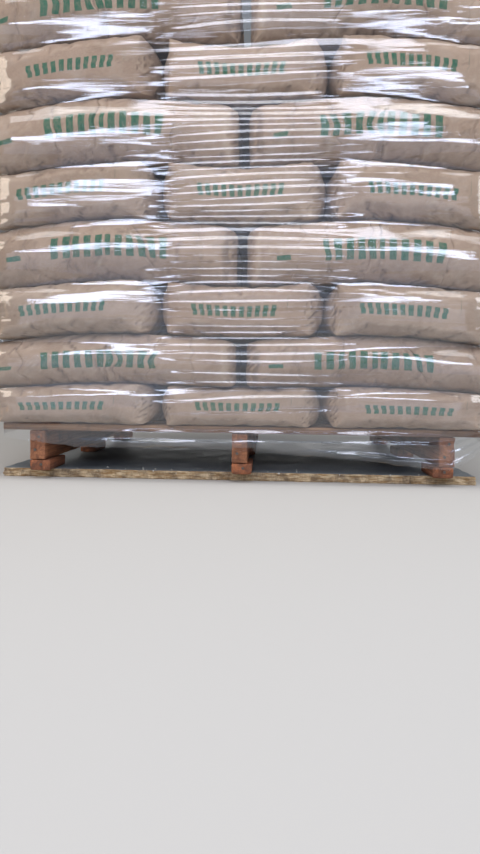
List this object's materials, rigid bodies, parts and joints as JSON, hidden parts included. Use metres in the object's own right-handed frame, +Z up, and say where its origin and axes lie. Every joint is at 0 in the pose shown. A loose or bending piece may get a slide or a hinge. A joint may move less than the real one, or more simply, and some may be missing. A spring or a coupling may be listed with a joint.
{
  "type": "pallet of sacks",
  "caption": "Stretch-wrapped pallet load of filled kraft paper sacks, laid in bonded layers on a wooden stringer pallet.",
  "frame": {"origin": "under the middle of the load, on the surface that the base sheet lies on", "axes": "+X along the front face to the right, +Y from the front face into the load, +Z up"},
  "size_m": [1.298, 1.062, 1.2381],
  "materials": {
    "kraft_paper": "matt brown kraft paper with green print",
    "hardwood": "rough sawn reddish hardwood",
    "plywood": "plywood with a dusty dark film face and pale edges",
    "stretch_film": "clear glossy stretch film"
  },
  "bodies": {
    "root": {"base_sheet": "plywood", "block_left_back": "hardwood", "block_left_front": "hardwood", "block_left_middle": "hardwood", "block_middle_back": "hardwood", "block_middle_front": "hardwood", "block_middle_middle": "hardwood", "block_right_back": "hardwood", "block_right_front": "hardwood", "block_right_middle": "hardwood", "deck_board_1": "hardwood", "deck_board_2": "hardwood", "deck_board_3": "hardwood", "deck_board_4": "hardwood", "deck_board_5": "hardwood", "deck_board_6": "hardwood", "sack_1_header_left": "kraft_paper", "sack_1_header_middle": "kraft_paper", "sack_1_header_right": "kraft_paper", "sack_1_stretcher_left": "kraft_paper", "sack_1_stretcher_right": "kraft_paper", "sack_2_header_left": "kraft_paper", "sack_2_header_middle": "kraft_paper", "sack_2_header_right": "kraft_paper", "sack_2_stretcher_left": "kraft_paper", "sack_2_stretcher_right": "kraft_paper", "sack_3_header_left": "kraft_paper", "sack_3_header_middle": "kraft_paper", "sack_3_header_right": "kraft_paper", "sack_3_stretcher_left": "kraft_paper", "sack_3_stretcher_right": "kraft_paper", "sack_4_header_left": "kraft_paper", "sack_4_header_middle": "kraft_paper", "sack_4_header_right": "kraft_paper", "sack_4_stretcher_left": "kraft_paper", "sack_4_stretcher_right": "kraft_paper", "sack_5_header_left": "kraft_paper", "sack_5_header_middle": "kraft_paper", "sack_5_header_right": "kraft_paper", "sack_5_stretcher_left": "kraft_paper", "sack_5_stretcher_right": "kraft_paper", "sack_6_header_left": "kraft_paper", "sack_6_header_middle": "kraft_paper", "sack_6_header_right": "kraft_paper", "sack_6_stretcher_left": "kraft_paper", "sack_6_stretcher_right": "kraft_paper", "sack_7_header_left": "kraft_paper", "sack_7_header_middle": "kraft_paper", "sack_7_header_right": "kraft_paper", "sack_7_stretcher_left": "kraft_paper", "sack_7_stretcher_right": "kraft_paper", "sack_8_header_left": "kraft_paper", "sack_8_header_middle": "kraft_paper", "sack_8_header_right": "kraft_paper", "sack_8_stretcher_left": "kraft_paper", "sack_8_stretcher_right": "kraft_paper", "stretch_wrap": "stretch_film", "stringer_left": "hardwood", "stringer_middle": "hardwood", "stringer_right": "hardwood"}
  },
  "joints": []
}
